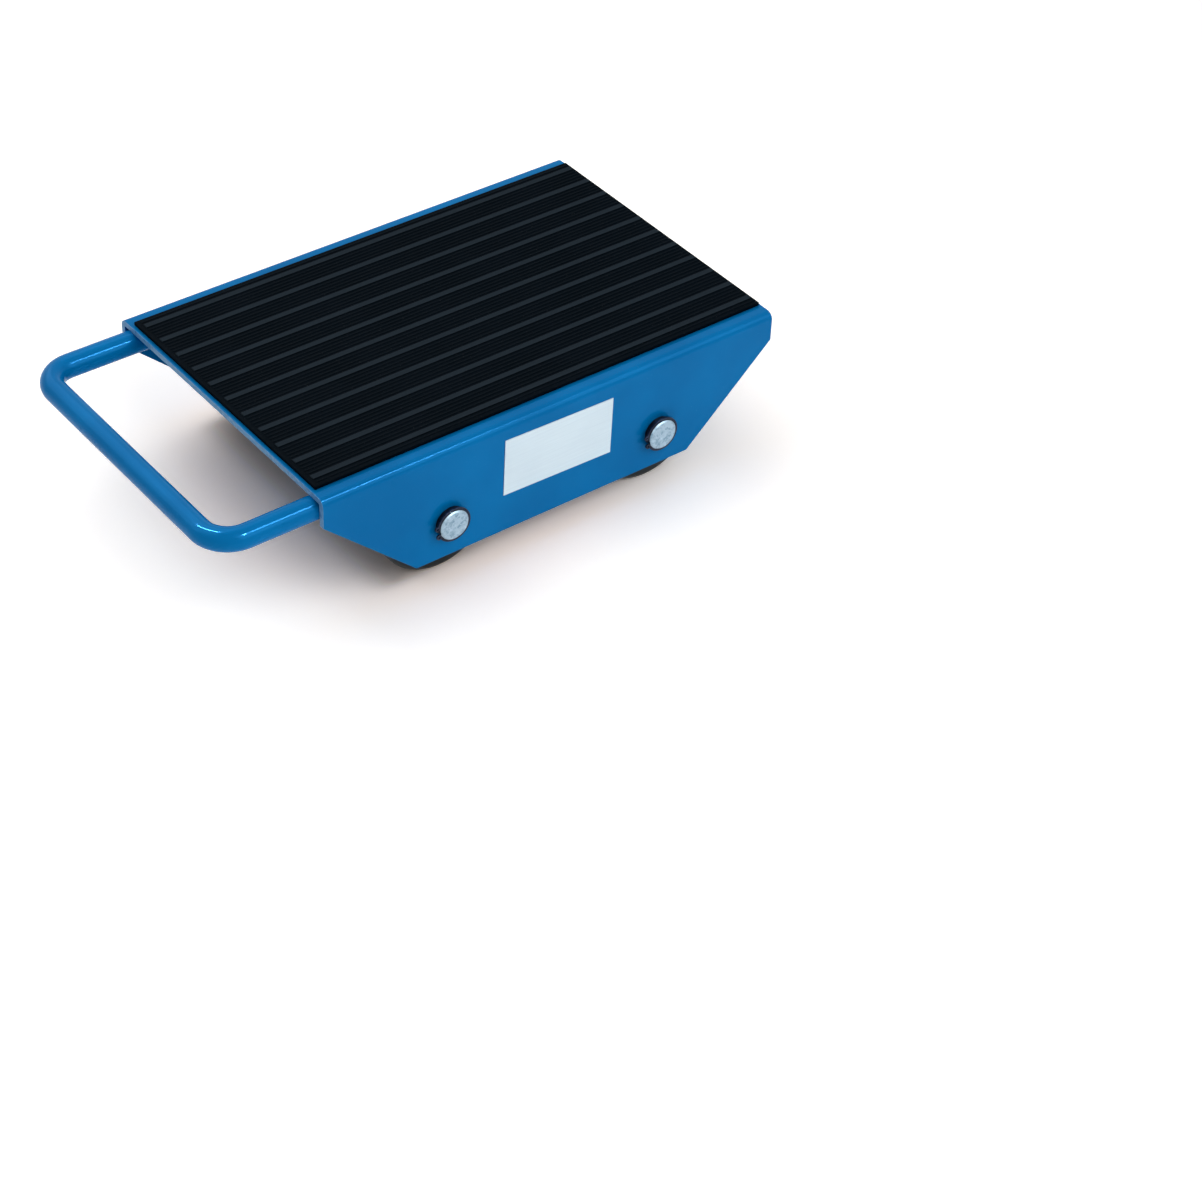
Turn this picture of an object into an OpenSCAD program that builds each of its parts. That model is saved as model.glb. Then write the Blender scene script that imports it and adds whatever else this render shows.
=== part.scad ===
// Machine skate: a folded steel channel with a ribbed rubber deck mat, a round-bar pull
// handle and four free nylon rollers, two side by side on each of two fixed axles.
// Origin: middle of the plan view, on the floor. +X is the rear, the handle is at -X,
// and the label plate is on the flange at -Y.

/* [Chassis] */
// Length of the deck channel along the rolling direction
chassis_len = 331; // [300:1:380]
// Width over the outer faces of the two flanges
chassis_w = 223; // [200:1:250]
// Height of the deck plate's upper face above the floor
deck_z = 94; // [92:0.5:110]
// Thickness of the folded plate
plate_t = 4; // [3:0.5:5]
// Inner radius of the two folds
fold_in_r = 1; // [0.5:0.5:8]
// Height of the flanges' lower edges above the floor
flange_lift = 16; // [10:0.5:24]
// Depth of the flanges' upright end edges, from the deck's upper face
flange_end_depth = 19.5; // [14:0.5:26]
// Length of the slope at each end of a flange
flange_slope_run = 63.5; // [45:0.5:70]

/* [Centre web and stiffeners] */
// Thickness of the centre web
web_t = 6; // [4:0.5:8]
// Distance from the deck's end to the web's upper corner
web_top_inset = 25; // [15:1:32]
// Distance from the deck's end to the web's lower corner
web_foot_inset = 66; // [50:1:70]
// Thickness of the cross plate in each bay
stiffener_t = 3; // [2:0.5:5]
// How far the cross plates stand in front of the middle between the axles
stiffener_offset = 10; // [0:0.5:20]
// Height of the cross plates' lower edges above the flanges' lower edges
stiffener_lift = 4; // [0:0.5:12]
// Size of the cuts that clear the welds at the cross plates' upper corners
stiffener_corner = 6; // [5:0.5:10]

/* [Pull handle] */
// Diameter of the round bar
bar_d = 15; // [10:0.5:16]
// How far the handle reaches beyond the deck's front edge
handle_reach = 70; // [45:1:120]
// Bend radius at the bar's centreline
handle_bend_r = 19; // [15:0.5:30]
// Length of each leg under the deck
leg_overlap = 28; // [16:1:32]

/* [Deck mat] */
// Thickness of the mat over its ribs
mat_t = 3; // [2.5:0.1:6]
// Height of the ribs
rib_h = 1; // [0.5:0.1:1.5]
// Distance from the chassis side at +Y to the mat
mat_left_inset = 11.5; // [6:0.5:16]
// Distance from the chassis side at -Y, the one with the label plate, to the mat
mat_right_inset = 11.5; // [6:0.5:16]
// Distance from the deck's front edge to the mat
mat_front_inset = 2.5; // [0:0.5:6]
// Distance from the mat to the deck's rear edge
mat_rear_inset = 1.5; // [0:0.5:6]
// Plain strip in front of the ribs
mat_lip = 3; // [0:0.5:10]
// Plain strip that is left beside the ribs
mat_side_strip = 1; // [0.2:0.1:5]
// Spacing of the broad ribs
broad_pitch = 18.36; // [16:0.01:18.6]
// Width of a broad rib
broad_rib_w = 4.4; // [3:0.1:5]
// Number of fine ribs between two broad ribs
fine_ribs = 4; // [2:1:4]
// Width of a fine rib
fine_rib_w = 1.3; // [0.8:0.1:1.5]

/* [Rollers] */
// Diameter of a roller
roller_d = 82; // [74:1:84]
// Rounding of the roller's edges
roller_edge_r = 4; // [2:0.5:8]
// Gap between a flange and the roller
flange_gap = 5.5; // [4:0.5:10]
// Gap between the centre web and a roller
web_gap = 12; // [4:0.5:20]
// Distance from the deck's front edge to the front axle
front_axle_place = 87.5; // [82:1:92]
// Distance from the deck's rear edge to the rear axle
rear_axle_inset = 87.5; // [80:1:92]

/* [Bearings] */
// Bore of the ball bearings, and diameter of the axles
axle_d = 20; // [16:0.5:22]
// Outer diameter of a bearing
bearing_d = 47; // [46:0.5:54]
// Width of a bearing
bearing_w = 14; // [12:0.5:18]
// Diameter of a ball
ball_d = 7.94; // [6.5:0.01:8.2]
// Number of balls in a bearing
ball_count = 8; // [6:1:9]
// Thickness of a bearing ring between its bore or rim and its shoulder
ring_wall = 3.3; // [3:0.1:3.8]
// Radial thickness of a ball cage
cage_wall = 2.2; // [1.6:0.1:2.6]
// Width of a ball cage
cage_w = 9; // [8.8:0.1:10]
// Thickness of a seal
seal_t = 0.8; // [0.5:0.1:1.2]
// Depth of a seal's face below the bearing's face
seal_inset = 0.4; // [0.2:0.1:0.6]
// Wall of the spacer tubes on the axles
spacer_wall = 2.4; // [1.5:0.1:3]
// Radial room around the inner spacer tube, inside a roller
spacer_room = 7; // [4:0.5:8]

/* [Axle ends] */
// Distance from a flange to the circlip, half of the axle's end play
clip_gap = 3.2; // [0.2:0.1:6]
// Full-width part of an axle between the circlip groove and the chamfer
axle_land = 0.2; // [0.2:0.1:6]
// Chamfer on the axle's ends
axle_chamfer = 0.8; // [0.4:0.1:1.5]
// Thickness of a circlip
clip_t = 1.2; // [1:0.05:1.5]
// Radial depth of the circlip groove
groove_depth = 0.5; // [0.3:0.05:1]
// Radial width of the circlip's band
clip_band = 2.2; // [1.8:0.1:4]
// Diameter of a circlip lug
lug_d = 3.4; // [3:0.1:5]
// Diameter of the hole in a circlip lug
lug_hole_d = 1.5; // [1.2:0.1:2.2]
// Half of the angle between the lugs
lug_half_angle = 16; // [14:1:30]
// Direction of a circlip's opening seen from -Y, counted from the rear through the top
clip_turn = 190; // [0:5:355]

/* [Label plate] */
// Length of the bare plate
label_len = 80; // [40:1:90]
// Height of the bare plate
label_h = 40; // [20:0.5:42]
// Thickness of the bare plate
label_t = 0.5; // [0.3:0.1:1]
// Distance from the deck's front edge to the plate's middle
label_place = 166.5; // [140:1:180]
// Height of the plate's middle below the deck's upper face
label_drop = 32; // [30:0.5:36]
// How far out of level the plate is stuck on
label_tilt = 1.3; // [0:0.1:3]

/* [Welds] */
// Width of the fillet beads at the cross plates
fillet_leg = 5; // [3:0.5:6]
// Width of the beads at the handle's legs, beyond the bar
handle_bead_w = 3; // [2:0.5:5]
// Gap between the ends of a bead and the edges of the plates it joins
bead_margin = 4; // [2:0.5:8]
// Length of the beads beside the web's ends
web_bead_len = 20; // [8:1:30]
// Radius of the weld pool in front of the web's ends
pool_r = 10; // [6:0.5:12]
// Depth of the weld pool
pool_depth = 4; // [2:0.5:5]
// Radius of the weld spot beside the handle
spot_r = 4; // [2:0.5:5]

/* [Fits] */
// Radial clearance of the axles in the plates
axle_hole_fit = 0.1; // [0.05:0.05:0.5]
// Radial clearance of rings, spacers and circlips on their seats
seat_fit = 0.02; // [0.01:0.01:0.05]
// Clearance of the balls in their tracks and cages
ball_fit = 0.1; // [0.05:0.01:0.15]
// Gap between a seal and the inner ring
seal_gap = 0.3; // [0.2:0.05:0.5]
// Axial clearance of a circlip in its groove
groove_fit = 0.1; // [0.05:0.05:0.2]

/* [Hidden] */
$fn = 96;

paint_blue = [0.02, 0.40, 0.68];
weld_blue = [0.25, 0.62, 0.85];
mat_black = [0.08, 0.09, 0.10];
nylon_black = [0.10, 0.13, 0.15];
bearing_steel = [0.80, 0.82, 0.84];
zinc_steel = [0.66, 0.72, 0.76];
seal_black = [0.06, 0.06, 0.07];
cage_brass = [0.72, 0.58, 0.32];
label_silver = [0.88, 0.90, 0.93];
clip_black = [0.12, 0.13, 0.14];

left = 1;
right = -1;
overshoot = 1;

front_x = (handle_reach - chassis_len) / 2;
rear_x = front_x + chassis_len;
under_z = deck_z - plate_t;
flange_in_y = chassis_w / 2 - plate_t;
flange_end_z = deck_z - flange_end_depth;
web_face_y = web_t / 2;
fold_r = plate_t + fold_in_r;
stiffener_z = flange_lift + stiffener_lift;

bar_r = bar_d / 2;
leg_y = flange_in_y - bar_r;
leg_z = under_z - bar_r;
leg_end_x = front_x + leg_overlap;
bar_x = front_x - handle_reach + bar_r;
bend_x = bar_x + handle_bend_r;
bend_y = leg_y - handle_bend_r;

axle_z = roller_d / 2;
axle_r = axle_d / 2;
groove_w = clip_t + groove_fit;
clip_y = chassis_w / 2 + clip_gap;
axle_half_len = clip_y + groove_w + axle_land + axle_chamfer;
front_axle_x = front_x + front_axle_place;
rear_axle_x = rear_x - rear_axle_inset;
stiffener_x = (front_axle_x + rear_axle_x) / 2 - stiffener_offset;

roller_r = roller_d / 2;
roller_out_y = flange_in_y - flange_gap;
roller_in_y = web_face_y + web_gap;
roller_len = roller_out_y - roller_in_y;
bearing_r = bearing_d / 2;
bearing_starts = [roller_in_y, roller_out_y - bearing_w];
pitch_r = (bearing_r + axle_r) / 2;
ball_r = ball_d / 2;
track_r = ball_r + ball_fit;
inner_shoulder_r = axle_r + ring_wall;
outer_shoulder_r = bearing_r - ring_wall;
spacer_r = axle_r + spacer_wall;

fine_pitch = broad_pitch / (fine_ribs + 2);
mat_len = chassis_len - mat_front_inset - mat_rear_inset;
mat_half_w = (chassis_w - mat_left_inset - mat_right_inset) / 2;
mat_mid_y = (mat_right_inset - mat_left_inset) / 2;
mat_base_t = mat_t - rib_h;

// Shape along Y, from the XZ outline of the children
module across(depth) {
    rotate([90, 0, 0])
        linear_extrude(depth, center = true)
            children();
}

// Cross-section of the folded channel, drawn with its middle at x = 0 and the deck on top
module folded_outline(width, top, corner_r) {
    translate([-width / 2, 0])
        square([width, top - corner_r]);
    translate([corner_r - width / 2, 0])
        square([width - 2 * corner_r, top]);
    for (side = [left, right])
        translate([side * (width / 2 - corner_r), top - corner_r])
            circle(corner_r);
}

// Outline of what the slope takes off one end of both flanges, with the end at x = 0
module slope_cut() {
    polygon([
        [-overshoot, -overshoot],
        [flange_slope_run, -overshoot],
        [flange_slope_run, flange_lift],
        [0, flange_end_z],
        [-overshoot, flange_end_z]
    ]);
}

module axle_holes(depth) {
    for (x = [front_axle_x, rear_axle_x])
        translate([x, 0, axle_z])
            rotate([90, 0, 0])
                cylinder(h = depth, r = axle_r + axle_hole_fit, center = true);
}

module deck_channel() {
    color(paint_blue)
        difference() {
            translate([front_x, 0, 0])
                rotate([90, 0, 90])
                    linear_extrude(chassis_len)
                        difference() {
                            folded_outline(chassis_w, deck_z, fold_r);
                            translate([0, -overshoot])
                                folded_outline(2 * flange_in_y, under_z + overshoot, fold_in_r);
                        }
            translate([front_x - overshoot, -chassis_w, -overshoot])
                cube([chassis_len + 2 * overshoot, 2 * chassis_w, flange_lift + overshoot]);
            translate([front_x, 0, 0])
                across(2 * chassis_w)
                    slope_cut();
            translate([rear_x, 0, 0])
                mirror([1, 0, 0])
                    across(2 * chassis_w)
                        slope_cut();
            axle_holes(2 * chassis_w);
        }
}

// The web's plate without its holes
module web_plate() {
    across(web_t)
        polygon([
            [front_x + web_foot_inset, flange_lift],
            [rear_x - web_foot_inset, flange_lift],
            [rear_x - web_top_inset, under_z],
            [front_x + web_top_inset, under_z]
        ]);
}

module centre_web() {
    color(paint_blue)
        difference() {
            web_plate();
            axle_holes(2 * web_t);
        }
}

module stiffener(side) {
    color(paint_blue)
        translate([stiffener_x - stiffener_t / 2, 0, 0])
            rotate([90, 0, 90])
                linear_extrude(stiffener_t)
                    polygon([
                        [side * web_face_y, stiffener_z],
                        [side * flange_in_y, stiffener_z],
                        [side * flange_in_y, under_z - stiffener_corner],
                        [side * (flange_in_y - stiffener_corner), under_z],
                        [side * (web_face_y + stiffener_corner), under_z],
                        [side * web_face_y, under_z - stiffener_corner]
                    ]);
}

module pull_handle() {
    color(paint_blue)
        translate([0, 0, leg_z]) {
            translate([bar_x, 0, 0])
                rotate([90, 0, 0])
                    cylinder(h = 2 * bend_y, r = bar_r, center = true);
            for (side = [0, 1])
                mirror([0, side, 0]) {
                    translate([bend_x, leg_y, 0])
                        rotate([0, 90, 0])
                            cylinder(h = leg_end_x - bend_x, r = bar_r);
                    translate([bend_x, bend_y, 0])
                        rotate([0, 0, 90])
                            rotate_extrude(angle = 90)
                                translate([handle_bend_r, 0])
                                    circle(bar_r);
                }
        }
}

// One rib of the mat, with its middle at the given distance from the mat's middle
module mat_rib(y, width) {
    translate([front_x + mat_front_inset + mat_lip, mat_mid_y + y - width / 2, deck_z])
        cube([mat_len - mat_lip, width, mat_t]);
}

module deck_mat() {
    reach = mat_half_w - mat_side_strip;
    last_broad = floor((reach - broad_rib_w / 2) / broad_pitch);
    color(mat_black) {
        translate([front_x + mat_front_inset, mat_mid_y - mat_half_w, deck_z])
            cube([mat_len, 2 * mat_half_w, mat_base_t]);
        for (i = [-last_broad : last_broad])
            mat_rib(i * broad_pitch, broad_rib_w);
        for (i = [-last_broad - 1 : last_broad], j = [0 : fine_ribs - 1]) {
            y = i * broad_pitch + (j + 1.5) * fine_pitch;
            if (abs(y) + fine_rib_w / 2 < reach)
                mat_rib(y, fine_rib_w);
        }
    }
}

module label_plate() {
    color(label_silver)
        translate([front_x + label_place, -chassis_w / 2 - label_t / 2, deck_z - label_drop])
            rotate([0, label_tilt, 0])
                cube([label_len, label_t, label_h], center = true);
}

// Quarter-round weld bead in the corner of two plates, along +Z from the origin
module corner_bead(leg, length) {
    intersection() {
        cylinder(h = length, r = leg);
        cube([leg, leg, length]);
    }
}

module web_welds() {
    color(weld_blue)
        for (end = [0, 1])
            translate([front_x + chassis_len / 2, 0, 0])
                mirror([end, 0, 0])
                    translate([web_top_inset - chassis_len / 2, 0, under_z]) {
                        for (side = [0, 1])
                            mirror([0, side, 0])
                                translate([0, web_face_y, 0])
                                    rotate([90, 90, 90])
                                        corner_bead(fillet_leg, web_bead_len);
                        weld_dome(pool_r, pool_depth);
                    }
}

// Front half of a shallow dome under the deck, with its flat side at x = 0
module weld_dome(radius, depth) {
    sphere_r = (radius * radius + depth * depth) / (2 * depth);
    intersection() {
        translate([0, 0, sphere_r - depth])
            sphere(sphere_r);
        translate([-radius, -radius, -depth])
            cube([radius, 2 * radius, depth]);
    }
}

module stiffener_welds() {
    weld_z = stiffener_z + bead_margin;
    weld_len = under_z - stiffener_corner - bead_margin - weld_z;
    color(weld_blue)
        for (side = [0, 1])
            mirror([0, side, 0])
                translate([stiffener_x - stiffener_t / 2, 0, weld_z]) {
                    translate([0, web_face_y, 0])
                        rotate([0, 0, 90])
                            corner_bead(fillet_leg, weld_len);
                    translate([0, flange_in_y, 0])
                        rotate([0, 0, 180])
                            corner_bead(fillet_leg, weld_len);
                }
}

// Bead between a handle leg and the deck, on the leg's inner side
module leg_bead() {
    bead_start = bar_r / 2;
    translate([front_x + bead_margin, 0, under_z])
        rotate([90, 0, 90])
            linear_extrude(leg_overlap - bead_margin)
                difference() {
                    translate([leg_y - bar_r - handle_bead_w, -bar_r])
                        square([bar_r + handle_bead_w - bead_start, bar_r]);
                    translate([leg_y, -bar_r])
                        circle(bar_r);
                    translate([leg_y - bar_r - handle_bead_w, -bar_r])
                        circle(handle_bead_w);
                }
}

module handle_welds() {
    color(weld_blue) {
        for (side = [0, 1])
            mirror([0, side, 0])
                leg_bead();
        translate([front_x + spot_r + bead_margin, -leg_y + bar_r + handle_bead_w + spot_r, under_z])
            for (half = [0, 1])
                mirror([half, 0, 0])
                    weld_dome(spot_r, spot_r / 2);
    }
}

// Turns a piece built along +Z into one along +Y on the axle at the given x
module on_axle(x, y) {
    translate([x, y, axle_z])
        rotate([-90, 0, 0])
            children();
}

// Mirrors what is built in the bay at +Y into the bay on the given side
module in_bay(side) {
    mirror([0, side == left ? 0 : 1, 0])
        children();
}

module axle(x) {
    end_outline = [
        [axle_r, clip_y],
        [axle_r - groove_depth, clip_y],
        [axle_r - groove_depth, clip_y + groove_w],
        [axle_r, clip_y + groove_w],
        [axle_r, axle_half_len - axle_chamfer],
        [axle_r - axle_chamfer, axle_half_len],
        [0, axle_half_len]
    ];
    points = len(end_outline);
    color(zinc_steel)
        on_axle(x, 0)
            rotate_extrude()
                polygon([for (i = [0 : 2 * points - 1])
                    i < points
                        ? end_outline[i]
                        : [end_outline[2 * points - 1 - i][0], -end_outline[2 * points - 1 - i][1]]]);
}

// Flat circlip with its opening along +X
module circlip_outline() {
    band_in_r = axle_r - groove_depth + seat_fit;
    band_out_r = band_in_r + clip_band;
    difference() {
        union() {
            difference() {
                circle(band_out_r);
                polygon([
                    [0, 0],
                    2 * band_out_r * [cos(lug_half_angle), sin(lug_half_angle)],
                    2 * band_out_r * [cos(lug_half_angle), -sin(lug_half_angle)]
                ]);
            }
            for (turn = [-lug_half_angle, lug_half_angle])
                rotate(turn)
                    translate([band_out_r, 0])
                        circle(lug_d / 2);
        }
        circle(band_in_r);
        for (turn = [-lug_half_angle, lug_half_angle])
            rotate(turn)
                translate([band_out_r, 0])
                    circle(lug_hole_d / 2);
    }
}

module axle_circlips() {
    color(clip_black)
        for (x = [front_axle_x, rear_axle_x], side = [left, right])
            in_bay(side)
                on_axle(x, clip_y)
                    rotate([0, 0, -clip_turn])
                        linear_extrude(clip_t)
                            circlip_outline();
}

// Two tubes of one axle, one in each bay, from near_y to far_y
module axle_tubes(x, near_y, far_y, radius, tint) {
    color(tint)
        for (side = [left, right])
            in_bay(side)
                on_axle(x, near_y)
                    difference() {
                        cylinder(h = far_y - near_y, r = radius);
                        translate([0, 0, -overshoot])
                            cylinder(h = far_y - near_y + 2 * overshoot, r = axle_r + seat_fit);
                    }
}

module inner_spacers(x) {
    axle_tubes(x, roller_in_y + bearing_w, roller_out_y - bearing_w, spacer_r, zinc_steel);
}

module web_spacers(x) {
    axle_tubes(x, web_face_y, roller_in_y, spacer_r, zinc_steel);
}

module flange_spacers(x) {
    axle_tubes(x, roller_out_y, flange_in_y, spacer_r, zinc_steel);
}

// Ball track, with the bearing's face at z = 0
module ball_track() {
    translate([0, 0, bearing_w / 2])
        rotate_extrude()
            translate([pitch_r, 0])
                circle(track_r);
}

// A bearing ring between two radii, with its share of the ball track cut into it
module bearing_ring(inside_r, outside_r) {
    difference() {
        cylinder(h = bearing_w, r = outside_r);
        translate([0, 0, -overshoot])
            cylinder(h = bearing_w + 2 * overshoot, r = inside_r);
        ball_track();
    }
}

module inner_rings(x) {
    color(bearing_steel)
        for (side = [left, right], y = bearing_starts)
            in_bay(side)
                on_axle(x, y)
                    bearing_ring(axle_r + seat_fit, inner_shoulder_r);
}

module outer_rings(x, side) {
    color(bearing_steel)
        for (y = bearing_starts)
            in_bay(side)
                on_axle(x, y)
                    bearing_ring(outer_shoulder_r, bearing_r - seat_fit);
}

module seals(x, side) {
    color(seal_black)
        for (y = bearing_starts, z = [seal_inset, bearing_w - seal_inset - seal_t])
            in_bay(side)
                on_axle(x, y)
                    translate([0, 0, z])
                        difference() {
                            cylinder(h = seal_t, r = outer_shoulder_r - seat_fit);
                            translate([0, 0, -overshoot])
                                cylinder(h = seal_t + 2 * overshoot, r = inner_shoulder_r + seal_gap);
                        }
}

// The places of the balls in a bearing, with the bearing's face at z = 0
module at_balls() {
    for (i = [0 : ball_count - 1])
        rotate([0, 0, i * 360 / ball_count])
            translate([pitch_r, 0, bearing_w / 2])
                children();
}

module balls(x, side) {
    color(bearing_steel)
        for (y = bearing_starts)
            in_bay(side)
                on_axle(x, y)
                    at_balls()
                        sphere(ball_r);
}

module cages(x, side) {
    color(cage_brass)
        for (y = bearing_starts)
            in_bay(side)
                on_axle(x, y)
                    difference() {
                        translate([0, 0, (bearing_w - cage_w) / 2])
                            difference() {
                                cylinder(h = cage_w, r = pitch_r + cage_wall / 2);
                                translate([0, 0, -overshoot])
                                    cylinder(h = cage_w + 2 * overshoot, r = pitch_r - cage_wall / 2);
                            }
                        at_balls()
                            rotate([0, 90, 0])
                                cylinder(h = 2 * cage_wall, r = ball_r + ball_fit, center = true);
                    }
}

module roller(x, side) {
    flat_r = roller_r - roller_edge_r;
    core_r = spacer_r + spacer_room;
    color(nylon_black)
        in_bay(side)
            on_axle(x, roller_in_y)
                rotate_extrude()
                    difference() {
                        union() {
                            square([flat_r, roller_len]);
                            translate([0, roller_edge_r])
                                square([roller_r, roller_len - 2 * roller_edge_r]);
                            for (z = [roller_edge_r, roller_len - roller_edge_r])
                                translate([flat_r, z])
                                    circle(roller_edge_r);
                        }
                        square([core_r, roller_len]);
                        square([bearing_r, bearing_w]);
                        translate([0, roller_len - bearing_w])
                            square([bearing_r, bearing_w]);
                    }
}

deck_channel();
centre_web();
stiffener(left);  // stiffener_left
stiffener(right);  // stiffener_right
pull_handle();
deck_mat();
label_plate();
web_welds();
stiffener_welds();
handle_welds();
axle(front_axle_x);  // front_axle
axle(rear_axle_x);  // rear_axle
axle_circlips();
inner_rings(front_axle_x);  // front_inner_rings
inner_spacers(front_axle_x);  // front_inner_spacers
web_spacers(front_axle_x);  // front_web_spacers
flange_spacers(front_axle_x);  // front_flange_spacers
inner_rings(rear_axle_x);  // rear_inner_rings
inner_spacers(rear_axle_x);  // rear_inner_spacers
web_spacers(rear_axle_x);  // rear_web_spacers
flange_spacers(rear_axle_x);  // rear_flange_spacers
roller(front_axle_x, left);  // front_left_roller
outer_rings(front_axle_x, left);  // front_left_outer_rings
seals(front_axle_x, left);  // front_left_seals
balls(front_axle_x, left);  // front_left_balls
cages(front_axle_x, left);  // front_left_cages
roller(front_axle_x, right);  // front_right_roller
outer_rings(front_axle_x, right);  // front_right_outer_rings
seals(front_axle_x, right);  // front_right_seals
balls(front_axle_x, right);  // front_right_balls
cages(front_axle_x, right);  // front_right_cages
roller(rear_axle_x, left);  // rear_left_roller
outer_rings(rear_axle_x, left);  // rear_left_outer_rings
seals(rear_axle_x, left);  // rear_left_seals
balls(rear_axle_x, left);  // rear_left_balls
cages(rear_axle_x, left);  // rear_left_cages
roller(rear_axle_x, right);  // rear_right_roller
outer_rings(rear_axle_x, right);  // rear_right_outer_rings
seals(rear_axle_x, right);  // rear_right_seals
balls(rear_axle_x, right);  // rear_right_balls
cages(rear_axle_x, right);  // rear_right_cages
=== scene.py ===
import math

import bmesh
import bpy
import numpy as np
from mathutils import Matrix, Vector


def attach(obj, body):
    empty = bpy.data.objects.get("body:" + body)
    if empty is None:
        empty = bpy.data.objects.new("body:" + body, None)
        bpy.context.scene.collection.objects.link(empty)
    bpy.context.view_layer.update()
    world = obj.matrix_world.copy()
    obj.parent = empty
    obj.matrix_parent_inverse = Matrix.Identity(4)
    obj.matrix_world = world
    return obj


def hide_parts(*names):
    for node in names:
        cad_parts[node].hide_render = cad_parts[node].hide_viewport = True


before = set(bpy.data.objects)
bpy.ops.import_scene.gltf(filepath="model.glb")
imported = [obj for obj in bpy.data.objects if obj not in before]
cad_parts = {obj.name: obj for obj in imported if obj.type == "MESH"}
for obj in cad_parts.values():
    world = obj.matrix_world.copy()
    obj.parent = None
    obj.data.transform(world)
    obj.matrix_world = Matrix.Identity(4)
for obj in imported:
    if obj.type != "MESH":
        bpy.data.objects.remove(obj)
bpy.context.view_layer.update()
print("frame loaded:", len(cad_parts), "nodes")

mm = 0.001
sides = {"left": 1, "right": -1}

# where things are on the skate, in mm, as in the part's own source
skate = {
    "frontX": -130.5, "rearX": 200.5, "deckZ": 94, "plate": 4, "flangeInside": 107.5,
    "axleZ": 41, "axleX": {"front": -43, "rear": 113}, "axleRadius": 10,
    "rollerRadius": 41, "rollerNear": 15, "rollerFar": 102,
    "bearingRadius": 23.5, "bearingWidth": 14, "stiffenerX": 25, "web": 3,
}


# node trees written as sums

class Wire:
    # an output socket that can stand in an expression
    def __init__(self, sheet, socket):
        self.sheet = sheet
        self.socket = socket

    def worked(self, operation, *values):
        return self.sheet.node("ShaderNodeMath", {"operation": operation}, dict(enumerate(values)))

    def __add__(self, other):
        return self.worked("ADD", self, other)

    def __sub__(self, other):
        return self.worked("SUBTRACT", self, other)

    def __rsub__(self, other):
        return self.worked("SUBTRACT", other, self)

    def __mul__(self, other):
        return self.worked("MULTIPLY", self, other)

    def __pow__(self, other):
        return self.worked("POWER", self, other)

    __radd__ = __add__
    __rmul__ = __mul__


class Sheet:
    # a node tree that is filled in from Python
    def __init__(self, tree):
        self.tree = tree

    def node(self, kind, settings=None, values=None, output=0):
        made = self.tree.nodes.new(kind)
        for name, value in (settings or {}).items():
            setattr(made, name, value)
        for name, value in (values or {}).items():
            for one in value if isinstance(value, list) else [value]:
                if isinstance(one, Wire):
                    self.tree.links.new(one.socket, made.inputs[name])
                else:
                    made.inputs[name].default_value = one
        return Wire(self, made.outputs[output])

    def noise(self, place, scale, detail=2.0, roughness=0.5):
        return self.node("ShaderNodeTexNoise", {}, {
            "Vector": place, "Scale": scale, "Detail": detail, "Roughness": roughness})

    def between(self, value, low, high, first=0.0, last=1.0):
        return self.node("ShaderNodeMapRange", {"interpolation_type": "SMOOTHSTEP"}, {
            0: value, 1: low, 2: high, 3: first, 4: last})

    def blend(self, share, first, second):
        return self.node("ShaderNodeMix", {"data_type": "RGBA", "blend_type": "MIX"}, {
            0: share, 6: first, 7: second}, 2)

    def attribute(self, name, output=2):
        return self.node("ShaderNodeAttribute", {"attribute_name": name}, {}, output)

    def split(self, vector):
        return [self.node("ShaderNodeSeparateXYZ", {}, {0: vector}, axis) for axis in range(3)]

    def joined(self, x, y, z):
        return self.node("ShaderNodeCombineXYZ", {}, {0: x, 1: y, 2: z})

    def stretched(self, vector, scale, turn=(0, 0, 0)):
        return self.node("ShaderNodeMapping", {}, {"Vector": vector, "Rotation": turn, "Scale": scale})


def tone(red, green, blue):
    # a colour as a picture program shows it, made linear
    def line(value):
        value /= 255
        return value / 12.92 if value <= 0.04045 else ((value + 0.055) / 1.055) ** 2.4
    return (line(red), line(green), line(blue), 1.0)


def newFinish(name, fixed):
    # a material with its shader; fixed values are set on the shader's own sockets
    material = bpy.data.materials.new(name)
    material.use_nodes = True
    sheet = Sheet(material.node_tree)
    shader = material.node_tree.nodes["Principled BSDF"]
    for socket, value in fixed.items():
        shader.inputs[socket].default_value = value
    place = sheet.node("ShaderNodeTexCoord", {}, {}, 3)

    def feed(socket, wire):
        material.node_tree.links.new(wire.socket, shader.inputs[socket])

    def relief(height, distance):
        return sheet.node("ShaderNodeBump", {}, {"Height": height, "Distance": distance, "Strength": 1.0})

    return material, sheet, place, feed, relief


# finishes

# the edge tone is partly thin coat and partly a painted highlight and painted reflection on rounded edges and cut
# faces
bluePaint = {
    "colour": tone(0, 114, 179), "deep": tone(0, 105, 168), "edge": tone(118, 162, 196),
    "gloss": 0.12, "patchScale": 14, "peelScale": 420, "peelDepth": 0.000002,
    "speckScale": 900, "dustColour": tone(60, 140, 196), "tint": (0.8, 1.0, 1.0, 1.0),
}


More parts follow.
